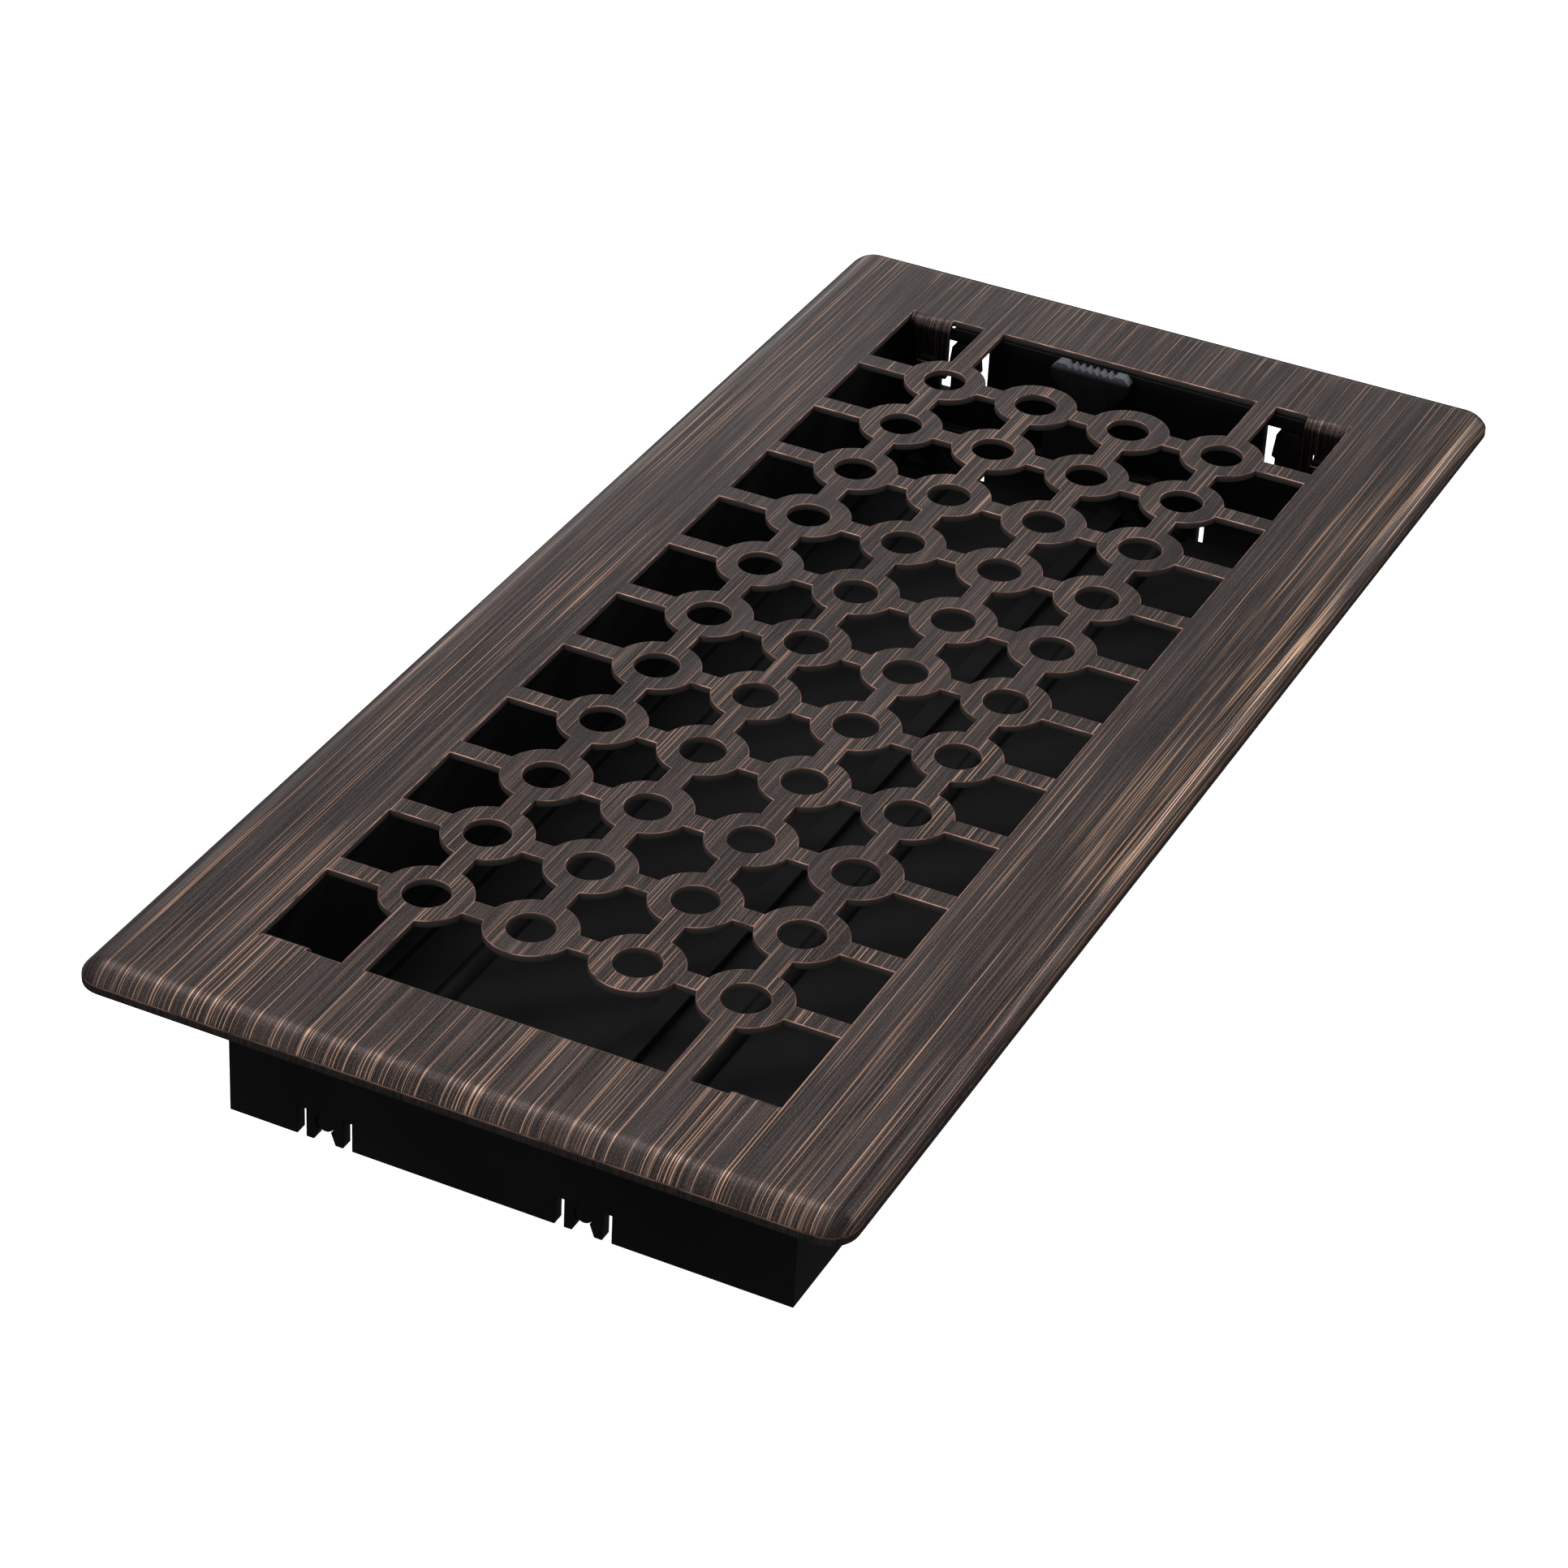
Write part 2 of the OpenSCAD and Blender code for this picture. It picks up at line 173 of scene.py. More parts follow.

# %% [markdown]
# ## The rubbed edge and the sheared wall
# Along every stamped edge the black skin has worn off and a fine copper line shows. It is a
# separate finish that goes on the narrow bevel of each edge, broken up by noise so that it isn't a
# drawn line. The wall left by the shear is rough and keeps its blackening, so it is duller than
# the top. Round the rim it is nearly black. In the openings it is painted a lighter grey, and this
# is painted light for the light that reaches the walls of the openings.

# %% Rubbed edge: copper plating where the skin has gone, brighter and smoother
copper_edge, t, shader = new_material("rubbed_copper_edge")
place = add(t, "ShaderNodeTexCoord").outputs["Object"]
wear = add(t, "ShaderNodeTexNoise", {"Vector": place, "Scale": 1 / (3.5 * MM),
                                     "Detail": 3.0}).outputs[0]
worn = add(t, "ShaderNodeMapRange", {"Value": wear, "From Min": 0.32, "From Max": 0.6})
rub = add(t, "ShaderNodeMix", {0: worn.outputs[0], 6: linear("#5a453e"), 7: linear("#b88c7d")},
          data_type="RGBA")
t.links.new(rub.outputs[2], shader.inputs["Base Color"])
shader.inputs["Metallic"].default_value = 0.9
polish = add(t, "ShaderNodeMapRange", {"Value": wear, "To Min": 0.55, "To Max": 0.3})
t.links.new(polish.outputs[0], shader.inputs["Roughness"])
print("made", copper_edge.name)

# %% Sheared wall: blackened steel, rough, with the upright marks of the punch
MARK_WIDTH, MARK_HEIGHT = 0.5 * MM, 4 * MM
sheared, t, shader = new_material("sheared_steel_blackened")
place = add(t, "ShaderNodeTexCoord").outputs["Object"]
upright = add(t, "ShaderNodeMapping", {
    "Vector": place, "Scale": (1 / MARK_WIDTH, 1 / MARK_WIDTH, 1 / MARK_HEIGHT)})
marks = add(t, "ShaderNodeTexNoise", {"Vector": upright.outputs[0], "Scale": 1.0,
                                      "Detail": 2.0}).outputs[0]
torn = add(t, "ShaderNodeMapRange", {"Value": marks, "From Min": 0.3, "From Max": 0.7})
wall = add(t, "ShaderNodeMix", {0: torn.outputs[0], 6: linear("#2c2827"), 7: linear("#4a4443")},
           data_type="RGBA")
blank = add(t, "ShaderNodeAttribute", attribute_name="blank").outputs["Vector"]
at = add(t, "ShaderNodeSeparateXYZ", {0: blank}).outputs
# painted light: the walls in the openings are painted a lighter grey than the rim's walls
walls_in_openings_painted_lighter = add(t, "ShaderNodeMapRange", {"Value": at["Z"], "From Min": -5 * MM, "From Max": -2 * MM,
                                        "To Min": 0.8, "To Max": 0.0})
wall = add(t, "ShaderNodeMix", {0: walls_in_openings_painted_lighter.outputs[0], 6: wall.outputs[2], 7: linear("#676160")},
           data_type="RGBA")
t.links.new(wall.outputs[2], shader.inputs["Base Color"])
shader.inputs["Metallic"].default_value = 0.3
shader.inputs["Roughness"].default_value = 0.6
shader.inputs["Specular IOR Level"].default_value = 0.12
relief = add(t, "ShaderNodeBump", {"Height": marks, "Strength": 0.4, "Distance": 0.05 * MM})
t.links.new(relief.outputs[0], shader.inputs["Normal"])
print("made", sheared.name)

# %% [markdown]
# ## Moulded plastics
# The box, the blades and the lever are injection mouldings in black, charcoal and grey ABS. Their
# mould has a fine spark-eroded grain, which makes them matt: the light is scattered by pits,
# drawn here about half a millimetre across. The pits are mostly bump, and darken the colour a
# little.


# %% Black, charcoal and grey ABS
ABS_IOR = 1.53
FLOW_WIDTH = 28 * MM  # broad, faint cloudiness left by the flow of the plastic


def moulded_abs(name, dark, light, roughness, pit, depth, gloss):
    """ABS from a grained mould: pit is the grain's width and depth its height, in metres."""
    material, t, shader = new_material(name)
    place = add(t, "ShaderNodeTexCoord").outputs["Object"]
    pits, flow = (add(t, "ShaderNodeTexNoise", {"Vector": place, "Scale": 1 / width,
                                                "Detail": 2.0}).outputs[0]
                  for width in (pit, FLOW_WIDTH))
    in_flow = add(t, "ShaderNodeMapRange", {"Value": flow, "From Min": 0.35, "From Max": 0.65})
    in_pits = add(t, "ShaderNodeMapRange", {"Value": pits, "From Min": 0.35, "From Max": 0.65,
                                            "To Min": 0.35, "To Max": 0.0})
    tone = add(t, "ShaderNodeMix", {0: in_flow.outputs[0], 6: linear(dark), 7: linear(light)},
               data_type="RGBA")
    tone = add(t, "ShaderNodeMix", {0: in_pits.outputs[0], 6: tone.outputs[2],
                                    7: linear("#000000")}, data_type="RGBA")
    t.links.new(tone.outputs[2], shader.inputs["Base Color"])
    matt = add(t, "ShaderNodeMapRange", {"Value": pits, "From Min": 0.3, "From Max": 0.7,
                                         "To Min": roughness - 0.06, "To Max": roughness + 0.06})
    t.links.new(matt.outputs[0], shader.inputs["Roughness"])
    shader.inputs["IOR"].default_value = ABS_IOR
    shader.inputs["Specular IOR Level"].default_value = gloss
    grain = add(t, "ShaderNodeBump", {"Height": pits, "Strength": 0.6, "Distance": depth})
    t.links.new(grain.outputs[0], shader.inputs["Normal"])
    print("made", name)
    return material


box_abs = moulded_abs("black_abs_moulded", "#0d0d0e", "#161618", 0.55, 0.5 * MM, 0.03 * MM, 0.14)
blade_abs = moulded_abs("charcoal_abs_grained", "#121214", "#1c1c1e", 0.6, 0.45 * MM, 0.05 * MM,
                        0.14)
lever_abs = moulded_abs("grey_abs_moulded", "#5f6168", "#72747b", 0.5, 0.4 * MM, 0.03 * MM, 0.3)

# %% Painted light and shade on the lever: its grey stays only on the grip's teeth, as if lit from above, and the lever under them is painted black as shade
PAINTED_SHADE_TOP, PAINTED_LIGHT_BOTTOM = 1.8 * MM, 2.9 * MM  # heights above the face's underside
t, shader = lever_abs.node_tree, lever_abs.node_tree.nodes["Principled BSDF"]
grey_painted_as_lit = shader.inputs["Base Color"].links[0].from_socket
place = add(t, "ShaderNodeTexCoord").outputs["Object"]
height = add(t, "ShaderNodeSeparateXYZ", {0: place}).outputs[2]
painted_light_on_teeth = add(t, "ShaderNodeMapRange", {"Value": height, "From Min": PAINTED_SHADE_TOP,
                                        "From Max": PAINTED_LIGHT_BOTTOM})
# painted shade: black below the teeth, and the lever's grey above them as painted light from above
tone = add(t, "ShaderNodeMix", {0: painted_light_on_teeth.outputs[0], 6: linear("#141416"), 7: grey_painted_as_lit},
           data_type="RGBA")
t.links.new(tone.outputs[2], shader.inputs["Base Color"])
print("lever painted black as shade up to", PAINTED_SHADE_TOP / MM, "mm")

# %% [markdown]
# ## The stamped face
# One sheet is punched with a lattice of rings, eleven along and four across, joined by bars. It
# could be drawn as one outline, but a rule says it better: a grid of points, a disc and a hole at
# each point, and bars along the rows. Geometry Nodes states exactly that. The tree below has the
# real sizes as its inputs, and a change of one number redraws all 44 rings.

# %% Sizes of the face, read from the frame or given in millimetres
low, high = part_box("face_plate")
FACE_LENGTH, FACE_WIDTH, TOP = high.x - low.x, high.y - low.y, high.z
SHEET = 1.3 * MM
ROLL_RUN = 4.8 * MM  # how far in from the rim the roll starts
ROLL_RADIUS = 5.6 * MM  # outside radius of the rolled edge
FLAT_CORNER = 0.2 * MM  # corner radius where the roll starts
STUB = 0.3 * MM  # how far a tab stays level before its bend
face_sizes = {
    "Rows": ("Int", 11), "Columns": ("Int", 4),
    "Row Pitch": ("Float", 19.75 * MM), "Column Pitch": ("Float", 18.9 * MM),
    "Ring Diameter": ("Float", 15.6 * MM), "Hole Diameter": ("Float", 8 * MM),
    "Bar Width": ("Float", 4 * MM), "Thickness": ("Float", SHEET),
    "Window Length": ("Float", 243.4 * MM), "Window Width": ("Float", 90.9 * MM),
    "Flat Length": ("Float", FACE_LENGTH - 2 * ROLL_RUN),
    "Flat Width": ("Float", FACE_WIDTH - 2 * ROLL_RUN), "Corner": ("Float", FLAT_CORNER),
    "Tab Width": ("Float", 8.3 * MM), "Tab Place": ("Float", 41.1 * MM), "Stub": ("Float", STUB),
    "Top": ("Material", bronze), "Wall": ("Material", sheared),
}
WINDOW_LENGTH, TAB_PLACE = (face_sizes[k][1] for k in ("Window Length", "Tab Place"))
print("face", round(FACE_LENGTH / MM, 2), "x", round(FACE_WIDTH / MM, 2), "mm")

# %% Tree: the lattice's points, its span and its lines of bars
g = bpy.data.node_groups.new("ring_lattice_sheet", "GeometryNodeTree")
for label, (kind, _) in face_sizes.items():
    g.interface.new_socket(name=label, in_out="INPUT", socket_type="NodeSocket" + kind)
g.interface.new_socket(name="Geometry", in_out="OUTPUT", socket_type="NodeSocketGeometry")
size = add(g, "NodeGroupInput").outputs
gaps = [add(g, "ShaderNodeMath", {0: size[n], 1: 1.0}, operation="SUBTRACT").outputs[0]
        for n in ("Rows", "Columns")]
span = [add(g, "ShaderNodeMath", {0: gap, 1: size[n]}, operation="MULTIPLY").outputs[0]
        for gap, n in zip(gaps, ("Row Pitch", "Column Pitch"))]
start = [add(g, "ShaderNodeMath", {0: s, 1: -0.5}, operation="MULTIPLY").outputs[0] for s in span]
points = add(g, "GeometryNodeMeshGrid", {0: span[0], 1: span[1], 2: size["Rows"],
                                         3: size["Columns"]})


def line_of(count, x, y, step_x, step_y):
    """A line of points from (x, y), one step apart, as a socket."""
    first = add(g, "ShaderNodeCombineXYZ", {0: x, 1: y})
    step = add(g, "ShaderNodeCombineXYZ", {0: step_x, 1: step_y})
    line = add(g, "GeometryNodeMeshLine", {"Count": count, "Start Location": first.outputs[0],
                                           "Offset": step.outputs[0]}, mode="OFFSET")
    return line.outputs[0]


row_line = line_of(size["Rows"], start[0], 0.0, size["Row Pitch"], 0.0)
outer_line = line_of(2, 0.0, start[1], 0.0, span[1])
inner_start = add(g, "ShaderNodeMath", {0: start[1], 1: size["Column Pitch"]},
                  operation="ADD").outputs[0]
inner_count = add(g, "ShaderNodeMath", {0: size["Columns"], 1: 2.0},
                  operation="SUBTRACT").outputs[0]
inner_line = line_of(inner_count, 0.0, inner_start, 0.0, size["Column Pitch"])
tab_start = add(g, "ShaderNodeMath", {0: size["Tab Place"], 1: -1.0},
                operation="MULTIPLY").outputs[0]
tab_step = add(g, "ShaderNodeMath", {0: size["Tab Place"], 1: 2.0}, operation="MULTIPLY").outputs[0]
tab_line = line_of(2, 0.0, tab_start, 0.0, tab_step)
print("tree:", len(g.nodes), "nodes")


# %% Tree: discs and bars on those points
RING_SIDES = 64  # smooth in a close view, and light enough for 44 rings


def put(line, shape):
    """The shape at each point of a line, as a socket."""
    node = add(g, "GeometryNodeInstanceOnPoints", {"Points": line, "Instance": shape.outputs[0]})
    return node.outputs[0]


def disc(diameter, depth):
    radius = add(g, "ShaderNodeMath", {0: diameter, 1: 0.5}, operation="MULTIPLY")
    return add(g, "GeometryNodeMeshCylinder", {"Vertices": RING_SIDES, "Radius": radius.outputs[0],
                                               "Depth": depth})


def bar(x, y, z):
    box = add(g, "ShaderNodeCombineXYZ", {0: x, 1: y, 2: z})
    return add(g, "GeometryNodeMeshCube", {0: box.outputs[0]})


deep = add(g, "ShaderNodeMath", {0: size["Thickness"], 1: 3.0}, operation="MULTIPLY").outputs[0]
past_x, past_y = (add(g, "ShaderNodeMath", {0: size[n], 1: MM}, operation="ADD").outputs[0]
                  for n in ("Window Length", "Window Width"))
stub_gap = add(g, "ShaderNodeMath", {0: size["Stub"], 1: 2.0}, operation="MULTIPLY").outputs[0]
inside_tabs = add(g, "ShaderNodeMath", {0: size["Window Length"], 1: stub_gap},
                  operation="SUBTRACT")
rings = put(points.outputs[0], disc(size["Ring Diameter"], size["Thickness"]))
holes = put(points.outputs[0], disc(size["Hole Diameter"], deep))
cross_bars = put(row_line, bar(size["Bar Width"], past_y, size["Thickness"]))
outer_bars = put(outer_line, bar(past_x, size["Bar Width"], size["Thickness"]))
inner_bars = put(inner_line, bar(span[0], size["Bar Width"], size["Thickness"]))
stub_pair = add(g, "GeometryNodeMeshBoolean", {
    0: bar(past_x, size["Tab Width"], size["Thickness"]).outputs[0],
    1: bar(inside_tabs.outputs[0], past_y, deep).outputs[0]},
    operation="DIFFERENCE", solver="MANIFOLD")
stubs = put(tab_line, stub_pair)
print("tree:", len(g.nodes), "nodes")

# %% [markdown]
# The flat border is the outline, filled and thickened, with the window cut out of it. Short stubs
# are left where the tabs will be bent down. Everything is a box or a disc square to the axes, so
# all the tops lie in exactly one plane and the union leaves no steps. The punch then takes the
# holes out, and the walls it leaves get their own finish, picked by their level normals.

# %% Tree: border, union, punch and finishes
outline = add(g, "GeometryNodeCurvePrimitiveQuadrilateral", {"Width": size["Flat Length"],
                                                            "Height": size["Flat Width"]})
outline = add(g, "GeometryNodeFilletCurve", {"Curve": outline.outputs[0], "Radius": size["Corner"],
                                             "Count": 8, "Limit Radius": True}, mode="POLY")
under = add(g, "GeometryNodeFillCurve", {"Curve": outline.outputs[0]}, mode="NGONS")
upper = add(g, "GeometryNodeExtrudeMesh", {"Mesh": under.outputs[0], "Individual": False,
                                           "Offset Scale": size["Thickness"]})
under = add(g, "GeometryNodeFlipFaces", {"Mesh": under.outputs[0]})
blank_sheet = add(g, "GeometryNodeJoinGeometry", {0: [upper.outputs[0], under.outputs[0]]})
blank_sheet = add(g, "GeometryNodeMergeByDistance", {"Geometry": blank_sheet.outputs[0],
                                                     "Distance": TOUCHING})
half_down = add(g, "ShaderNodeMath", {0: size["Thickness"], 1: -0.5}, operation="MULTIPLY")
half_down = add(g, "ShaderNodeCombineXYZ", {2: half_down.outputs[0]})
blank_sheet = add(g, "GeometryNodeTransform", {"Geometry": blank_sheet.outputs[0],
                                               "Translation": half_down.outputs[0]})
window = bar(size["Window Length"], size["Window Width"], deep)
border = add(g, "GeometryNodeMeshBoolean", {0: blank_sheet.outputs[0], 1: window.outputs[0]},
             operation="DIFFERENCE", solver="MANIFOLD")
sheet = add(g, "GeometryNodeMeshBoolean",
            {1: [border.outputs[0], stubs, rings, cross_bars, outer_bars, inner_bars]},
            operation="UNION", solver="MANIFOLD")
sheet = add(g, "GeometryNodeMeshBoolean", {0: sheet.outputs[0], 1: holes},
            operation="DIFFERENCE", solver="MANIFOLD")
sheet = add(g, "GeometryNodeSetMaterial", {"Geometry": sheet.outputs[0], "Material": size["Top"]})
facing = add(g, "GeometryNodeInputNormal")
facing = add(g, "ShaderNodeSeparateXYZ", {0: facing.outputs[0]})
level = add(g, "ShaderNodeMath", {0: facing.outputs[2], 1: 0.0, 2: 0.5}, operation="COMPARE")
sheet = add(g, "GeometryNodeRealizeInstances", {0: sheet.outputs[0]})
sheet = add(g, "GeometryNodeSetMaterial", {"Geometry": sheet.outputs[0],
                                           "Selection": level.outputs[0],
                                           "Material": size["Wall"]})
add(g, "NodeGroupOutput", {0: sheet.outputs[0]})
print("tree:", len(g.nodes), "nodes")


# %% [markdown]
# A node tree only makes something when an object wears it. The helper below puts a tree on a new
# object, sets each input by its socket's identifier, and turns the result into a plain mesh.


# %% From a tree to a plain mesh
def grown(tree, values):
    """The mesh that a Geometry Nodes tree makes with these named values."""
    wearer = bpy.data.objects.new(tree.name, bpy.data.meshes.new(tree.name))
    bpy.context.scene.collection.objects.link(wearer)
    modifier = wearer.modifiers.new("nodes", "NODES")
    modifier.node_group = tree
    for socket in tree.interface.items_tree:
        if socket.in_out == "INPUT":
            modifier[socket.identifier] = values[socket.name][1]
    ready = wearer.evaluated_get(bpy.context.evaluated_depsgraph_get())
    mesh = bpy.data.meshes.new_from_object(ready)
    wearer.modifiers.remove(modifier)
    bpy.data.objects.remove(wearer)
    return mesh


lattice = grown(g, face_sizes)
bm = bmesh.new()
bm.from_mesh(lattice)
for face in bm.faces:
    face.material_index = 1 if lattice.materials[face.material_index] == sheared else 0
bmesh.ops.translate(bm, verts=bm.verts, vec=(0, 0, TOP - SHEET / 2))
print("lattice:", len(bm.verts), "points,", len(bm.faces), "faces")

# %% [markdown]
# ## Rolling the rim
# The press rolls the rim of the blank down to the floor, so that the face sits flush and feels
# smooth underfoot. A Bevel or a Solidify could fake it, but the roll is a true section: an outer
# arc, the sheared edge, and an inner arc one sheet thickness inside. The outer walls of the flat
# sheet are taken off, and its edge is drawn out through that section, all the way round.

# %% The roll's section, from the top outwards and back underneath
OUTER_STEPS, INNER_STEPS = 14, 10
arc_centre = TOP - ROLL_RADIUS
outer_end = math.asin(ROLL_RUN / ROLL_RADIUS)
inner_radius = ROLL_RADIUS - SHEET
inner_end = math.acos(-arc_centre / inner_radius)
section = [(ROLL_RADIUS * math.sin(outer_end * i / OUTER_STEPS),
            arc_centre + ROLL_RADIUS * math.cos(outer_end * i / OUTER_STEPS))
           for i in range(1, OUTER_STEPS + 1)]
section.append((ROLL_RUN, 0.0))
section += [(inner_radius * math.sin(inner_end * i / INNER_STEPS),
             arc_centre + inner_radius * math.cos(inner_end * i / INNER_STEPS))
            for i in range(INNER_STEPS, -1, -1)]
print("sheared edge from", round(section[OUTER_STEPS - 1][1] / MM, 2), "mm down to the floor")


# %% Draw the edge of the sheet out through the section
def drawn_out(edges, stations, place):
    """Lofts a row of edges through stations; place(point, station) says where each point goes."""
    row, faces = {v: v for e in edges for v in e.verts}, []
    for station in stations:
        following = {v: bm.verts.new(place(v.co, station)) for v in row}
        for a, b in (e.verts for e in edges):
            faces.append(bm.faces.new((row[a], row[b], following[b], following[a])))
        row = following
    return row, faces


flat_x, flat_y = FACE_LENGTH / 2 - ROLL_RUN - FLAT_CORNER, FACE_WIDTH / 2 - ROLL_RUN - FLAT_CORNER


def rim_frame(point):
    """The nearest point inside the flat's corners, and the way outwards from it."""
    inside = Vector((max(-flat_x, min(flat_x, point.x)), max(-flat_y, min(flat_y, point.y))))
    return inside, point.xy - inside


def on_roll(point, station):
    inside, away = rim_frame(point)
    out, height = station
    return (*(inside + away.normalized() * (FLAT_CORNER + out)), height)


walls = [f for f in bm.faces if abs(f.normal.z) < 0.1
         and all(rim_frame(v.co)[1].length > 0.9 * FLAT_CORNER for v in f.verts)]
bmesh.ops.delete(bm, geom=walls, context="FACES")
top_edge = [e for e in bm.edges if e.is_boundary
            and min(v.co.z for v in e.verts) > TOP - SHEET / 2]
_, rolled = drawn_out(top_edge, section, on_roll)
bm.normal_update()
for face in rolled:
    at_floor = face.calc_center_median().z < TOUCHING
    face.material_index = 1 if abs(face.normal.z) < 0.05 or at_floor else 0
bmesh.ops.remove_doubles(bm, verts=bm.verts, dist=TOUCHING)
print("rim rolled through", len(section), "stations")
print("open edges:", sum(e.is_boundary for e in bm.edges))

# %% [markdown]
# ## Bending the tabs
# Four tabs are bent down from the ends of the window. They hold the damper box: a small wedge on
# its wall snaps into the hole in each tab. The same lofting draws each stub round its bend and
# down, and a punch of four small blocks opens the catch holes.

# %% Bend the four tabs
BEND_INSIDE = 1 * MM
TAB_DROP = 12 * MM
bend_outside = BEND_INSIDE + SHEET
stub_x = WINDOW_LENGTH / 2 - STUB


def on_tab(point, station):
    """Where a point of a stub's end goes at an angle of the bend, or at a height below it."""
    angle, height = station
    radius = bend_outside if point.z > TOP - SHEET / 2 else BEND_INSIDE
    x = WINDOW_LENGTH / 2 - radius * math.sin(angle)
    z = TOP - bend_outside + radius * math.cos(angle) if height is None else height
    return (math.copysign(x, point.x), point.y, z)


bends = [(math.radians(a), None) for a in (20, 34, 48, 62, 76, 90)]
bends.append((math.pi / 2, TOP - TAB_DROP))
ends = [f for f in bm.faces if abs(f.normal.x) > 0.9
        and all(abs(abs(v.co.x) - stub_x) < 0.01 * MM for v in f.verts)]
for end in ends:
    corners, edges = list(end.verts), list(end.edges)
    bmesh.ops.delete(bm, geom=[end], context="FACES_ONLY")
    row, faces = drawn_out(edges, bends, on_tab)
    faces.append(bm.faces.new([row[v] for v in corners]))
    bm.normal_update()
    for face in faces:
        face.material_index = 1 if abs(face.normal.y) > 0.5 or face is faces[-1] else 0
bmesh.ops.recalc_face_normals(bm, faces=bm.faces)
print("tabs bent:", len(ends), "open edges:", sum(e.is_boundary for e in bm.edges))


# %% Punch the catch holes
CATCH = (4 * MM, 2.4 * MM)  # width and height of a catch hole
CATCH_DROP = 8 * MM  # from the top of the face to the middle of the hole
PUNCH_REACH = 6 * MM  # well past both sides of a tab
punch = bmesh.new()
for sx in (-1, 1):
    for sy in (-1, 1):
        where = Matrix.Translation((sx * (WINDOW_LENGTH / 2 - bend_outside), sy * TAB_PLACE,
                                    TOP - CATCH_DROP))
        bmesh.ops.create_cube(punch, size=1.0,
                              matrix=where @ Matrix.Diagonal((PUNCH_REACH, *CATCH, 1)))
punch_mesh = bpy.data.meshes.new("catch_punch")
punch.to_mesh(punch_mesh)
punch_tool = bpy.data.objects.new("catch_punch", punch_mesh)
bpy.context.scene.collection.objects.link(punch_tool)
print("catch holes:", len(punch_mesh.polygons) // 6)

# %% [markdown]
# ## Breaking the edges
# No stamped edge is perfectly sharp, and here it is also where the copper shows. A Bevel modifier
# breaks every edge by about a seventh of a millimetre and gives the new faces the copper finish.
# Level faces stay flat-shaded, so that the sheet reads as flat, and only the bevels and the curved
# walls are smooth.


# %% Finish a mesh: break its edges, then settle its shading
def with_modifiers(mesh, name, settings):
    """A new mesh: the old one after these modifiers, given as (kind, {property: value})."""
    wearer = bpy.data.objects.new(name, mesh)
    bpy.context.scene.collection.objects.link(wearer)
    for kind, values in settings:
        modifier = wearer.modifiers.new(kind.lower(), kind)
        for key, value in values.items():
            setattr(modifier, key, value)
    ready = wearer.evaluated_get(bpy.context.evaluated_depsgraph_get())
    done = bpy.data.meshes.new_from_object(ready)
    bpy.data.objects.remove(wearer)
    return done


def shade(mesh, split_angle):
    """Smooth shading on curves, flat on level faces, split at edges sharper than the angle."""
    mesh.set_sharp_from_angle(angle=math.radians(split_angle))
    for polygon in mesh.polygons:
        polygon.use_smooth = abs(polygon.normal.z) < 0.9999


def piece(name, mesh, materials, body, node):
    """Makes an object with its finishes, riding on a body in place of a node of the frame."""
    for material in materials:
        mesh.materials.append(material)
    made = bpy.data.objects.new(name, mesh)
    bpy.context.scene.collection.objects.link(made)
    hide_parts(node)
    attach(made, body)
    print(name, "faces:", len(mesh.polygons))


EDGE_BREAK = 0.14 * MM
sheet_mesh = bpy.data.meshes.new("stamped_sheet")
bm.to_mesh(sheet_mesh)
bm.free()
for material in (bronze, sheared, copper_edge):
    sheet_mesh.materials.append(material)
sheet_mesh = with_modifiers(sheet_mesh, "stamped_sheet", [
    ("BOOLEAN", {"operation": "DIFFERENCE", "object": punch_tool, "solver": "MANIFOLD"}),
    ("BEVEL", {"width": EDGE_BREAK, "segments": 2, "limit_method": "ANGLE",
               "angle_limit": math.radians(25), "material": 2, "loop_slide": False,
               "use_clamp_overlap": False}),
])
bpy.data.objects.remove(punch_tool)
# painted shade: the underside's edges get the dark wall finish in place of copper, for the shade
# under the sheet as well as the lack of rubbing there
for polygon in sheet_mesh.polygons:
    if polygon.material_index == 2 and polygon.normal.z < -0.05:
        polygon.material_index = 1  # nothing rubs the underside, so its edges stay black
shade(sheet_mesh, split_angle=50)
print("bevelled sheet:", len(sheet_mesh.vertices), "points")

# %% [markdown]
# The last step on the face records where each point lay on the flat blank. On the roll, the
# distance outwards becomes the length of the arc. On a tab, the drop is taken back along the sheet.
# The third number is the distance past the start of the roll, below zero on the flat.

# %% Where each point lay on the blank
blank_at = sheet_mesh.attributes.new("blank", "FLOAT_VECTOR", "POINT")
places = []
for vertex in sheet_mesh.vertices:
    point = vertex.co
    inside, away = rim_frame(point)
    out = away.length - FLAT_CORNER
    if out > 0:
        arc = ROLL_RADIUS * math.asin(min(out / ROLL_RADIUS, 0.999))
        flat, past = inside + away.normalized() * (FLAT_CORNER + arc), arc
    else:
        drop = max(0.0, TOP - SHEET - point.z)
        flat = Vector((point.x - math.copysign(drop, point.x), point.y))
        past = max(abs(point.x) - flat_x, abs(point.y) - flat_y)
    places += [flat.x, flat.y, past]
blank_at.data.foreach_set("vector", places)
piece("bronze_face", sheet_mesh, (), "register_body", "face_plate")

# %% [markdown]
# ## The mouldings
# The box, the blades and the lever already have their true shapes in the frame. A moulding never
# has a knife edge, and a rounded edge is what catches the light, so each one is copied, its loose
# triangles are joined back into whole faces, and its edges are rounded by the radius of the mould.


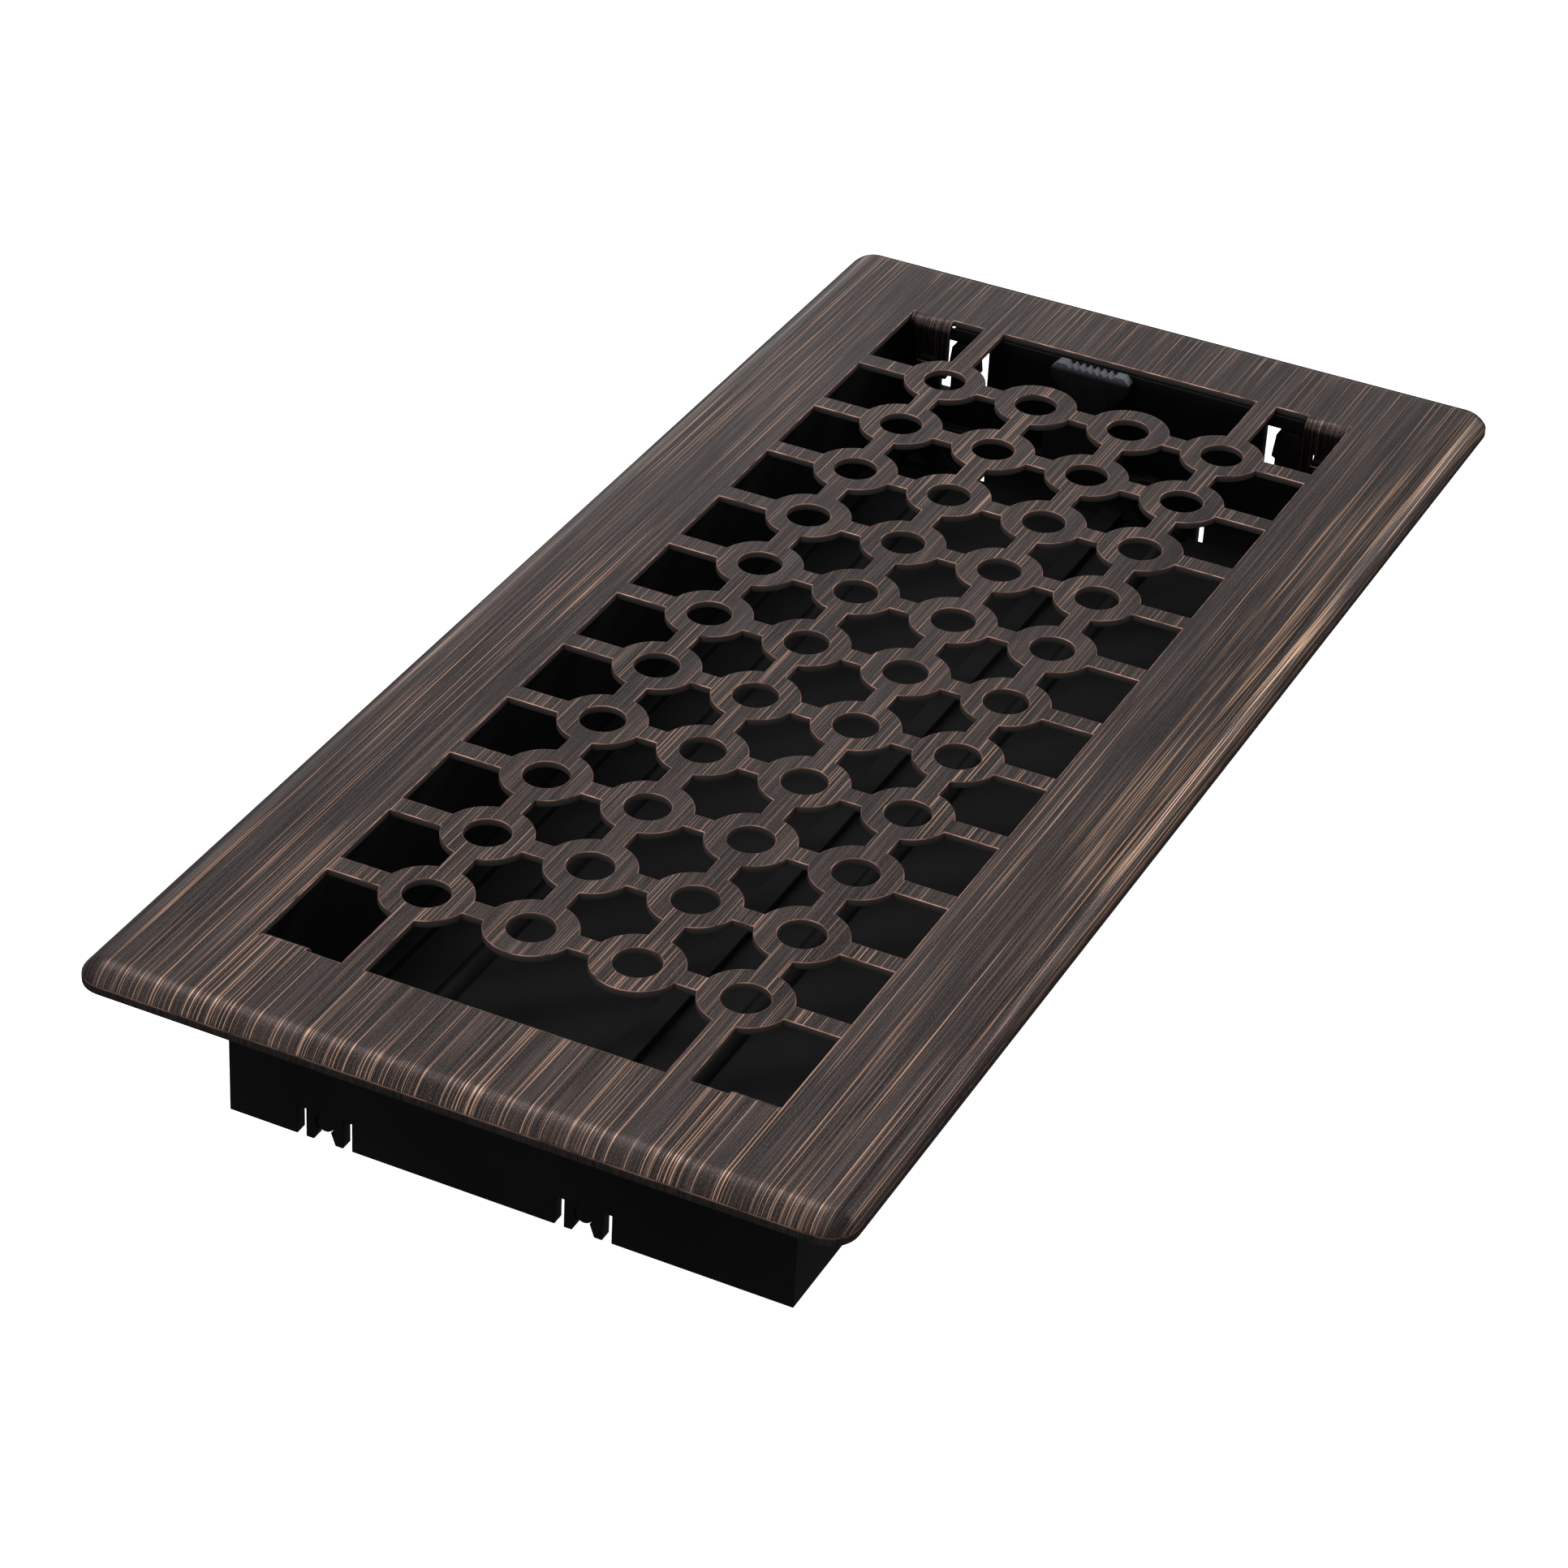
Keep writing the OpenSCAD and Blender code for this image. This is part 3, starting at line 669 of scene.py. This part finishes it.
# %% Rounded copies of the mouldings
def moulding(node, name, radius, material, body):
    """Makes a copy of a frame node with its edges rounded."""
    source = bmesh.new()
    source.from_mesh(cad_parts[node].data)
    bmesh.ops.remove_doubles(source, verts=source.verts, dist=TOUCHING)
    bmesh.ops.dissolve_limit(source, angle_limit=math.radians(0.5), verts=source.verts,
                             edges=source.edges)
    mesh = bpy.data.meshes.new(name)
    source.to_mesh(mesh)
    source.free()
    mesh.materials.clear()
    mesh = with_modifiers(mesh, name, [
        ("BEVEL", {"width": radius, "segments": 2, "limit_method": "ANGLE",
                   "angle_limit": math.radians(30), "loop_slide": False})])
    shade(mesh, split_angle=40)
    piece(name, mesh, (material,), body, node)


MOULD_RADIUS, GRIP_RADIUS = 0.25 * MM, 0.12 * MM  # the grip's teeth are crisper
moulding("damper_box", "black_damper_box", MOULD_RADIUS, box_abs, "register_body")
moulding("left_blade", "louvre_blade_left", MOULD_RADIUS, blade_abs, "left_louvre")
moulding("right_blade", "louvre_blade_right", MOULD_RADIUS, blade_abs, "right_louvre")
moulding("thumb_lever", "toothed_thumb_lever", GRIP_RADIUS, lever_abs, "lever")

# %% [markdown]
# ## Floor, light and camera
# The stage is plain white. The floor lies a little below the box, so that the blades have room to
# swing down when they open. It glows white by itself and throws no light back up, so the black box
# stays black. Five soft lights stand round the object: one over and beyond it, which is mirrored in
# the start of the near roll, three further off that pick out the far and side rolls, and a weak one
# at the near left.

# %% Floor
FLOOR = -66 * MM  # height of the floor, clear of the open blades
REACH = 6.0  # half the floor's side, in metres
paper, t, shader = new_material("matt_white_paper")
place = add(t, "ShaderNodeTexCoord").outputs["Object"]
fibre = add(t, "ShaderNodeTexNoise", {"Vector": place, "Scale": 1 / (3 * MM),
                                      "Detail": 2.0}).outputs[0]
tint = add(t, "ShaderNodeMix", {0: fibre, 6: linear("#f6f6f5"), 7: linear("#fbfbfa")},
           data_type="RGBA")
t.links.new(tint.outputs[2], shader.inputs["Base Color"])
shader.inputs["Roughness"].default_value = 0.9
shader.inputs["Specular IOR Level"].default_value = 0.1
shader.inputs["Emission Color"].default_value = (1, 1, 1, 1)
shader.inputs["Emission Strength"].default_value = 1.0
floor_mesh = bpy.data.meshes.new("floor")
floor_mesh.from_pydata([(-REACH, -REACH, FLOOR), (REACH, -REACH, FLOOR),
                        (REACH, REACH, FLOOR), (-REACH, REACH, FLOOR)], [], [(0, 1, 2, 3)])
floor_mesh.materials.append(paper)
floor = bpy.data.objects.new("floor", floor_mesh)
bpy.context.scene.collection.objects.link(floor)
floor.visible_diffuse = floor.visible_glossy = False  # it throws no light back up
print("floor at", FLOOR / MM, "mm")

# %% World: brightest overhead, darker below the horizon, and plain white to the camera
OVERHEAD = (-0.1, 0.3, 0.95)  # towards the middle of the white ceiling
DIMMEST, BRIGHTEST = 0.28, 0.9  # of the walls and of the ceiling
BELOW = 0.4  # how much of that is left under the horizon
world = bpy.data.worlds.new("studio_white")
world.use_nodes = True
t = world.node_tree
ray = add(t, "ShaderNodeTexCoord").outputs["Generated"]
ceiling = add(t, "ShaderNodeVectorMath", {0: ray, 1: OVERHEAD}, operation="DOT_PRODUCT")
glow = add(t, "ShaderNodeMapRange", {"Value": ceiling.outputs["Value"], "From Min": 0.6,
                                     "From Max": 1.0, "To Min": DIMMEST, "To Max": BRIGHTEST},
           interpolation_type="SMOOTHSTEP").outputs[0]
height = add(t, "ShaderNodeSeparateXYZ", {0: ray}).outputs[2]
above = add(t, "ShaderNodeMapRange", {"Value": height, "From Min": -0.15, "From Max": 0.1,
                                      "To Min": BELOW}).outputs[0]
strength = add(t, "ShaderNodeMath", {0: glow, 1: above}, operation="MULTIPLY").outputs[0]
seen = add(t, "ShaderNodeLightPath").outputs["Is Camera Ray"]
strength = add(t, "ShaderNodeMath", {0: strength, 1: seen}, operation="MAXIMUM").outputs[0]
t.nodes["Background"].inputs["Color"].default_value = (1, 1, 1, 1)
t.links.new(strength, t.nodes["Background"].inputs["Strength"])
bpy.context.scene.world = world
bpy.context.scene.view_settings.view_transform = "Standard"
print("world from", DIMMEST, "to", BRIGHTEST)


# %% Soft lights
def softbox(name, spot, aim, across, tall, watts):
    """A rectangular soft light at spot, turned towards aim. Sizes are in metres."""
    light = bpy.data.lights.new(name, "AREA")
    light.shape = "RECTANGLE"
    light.size, light.size_y, light.energy = across, tall, watts
    lamp = bpy.data.objects.new(name, light)
    lamp.location = spot
    lamp.rotation_mode = "QUATERNION"
    lamp.rotation_quaternion = (Vector(aim) - Vector(spot)).to_track_quat("-Z", "Y")
    lamp.visible_camera = False
    bpy.context.scene.collection.objects.link(lamp)
    print(name, "at", spot)


MIDDLE = (0, 0, 0)
softbox("beyond_softbox", (0.34, 0.36, 0.97), MIDDLE, 1.0, 0.14, 3.0)
softbox("far_softbox", (1.1, 0.42, 0.42), MIDDLE, 0.6, 0.25, 0.45)
softbox("far_left_softbox", (0.95, 0.75, 0.26), MIDDLE, 0.6, 0.3, 0.9)
softbox("far_right_softbox", (0.85, -0.5, 0.5), MIDDLE, 0.5, 0.3, 2.0)
softbox("near_left_softbox", (-0.95, 0.42, 0.5), (-0.1, 0, 0), 0.5, 0.4, 0.5)

# %% Camera: a long lens, beyond the -X end and above it, a little to the -Y side
LENS, SENSOR = 108.21, 36.0  # in millimetres
SHIFT = (0.02366, -0.00698)
STANDS_AT = (-0.632972, -0.276512, 0.431716)
forward, up = Vector((0.757582, 0.354405, -0.548148)), Vector((0.474821, 0.277021, 0.835347))
side = forward.cross(up).normalized()
camera_data = bpy.data.cameras.new("camera")
camera_data.lens, camera_data.sensor_width = LENS, SENSOR
camera_data.shift_x, camera_data.shift_y = SHIFT
camera = bpy.data.objects.new("camera", camera_data)
turned = Matrix((side, side.cross(forward), -forward)).transposed().to_4x4()
camera.matrix_world = Matrix.Translation(STANDS_AT) @ turned
bpy.context.scene.collection.objects.link(camera)
bpy.context.scene.camera = camera
print("camera", round(camera.location.length, 3), "m from the origin")
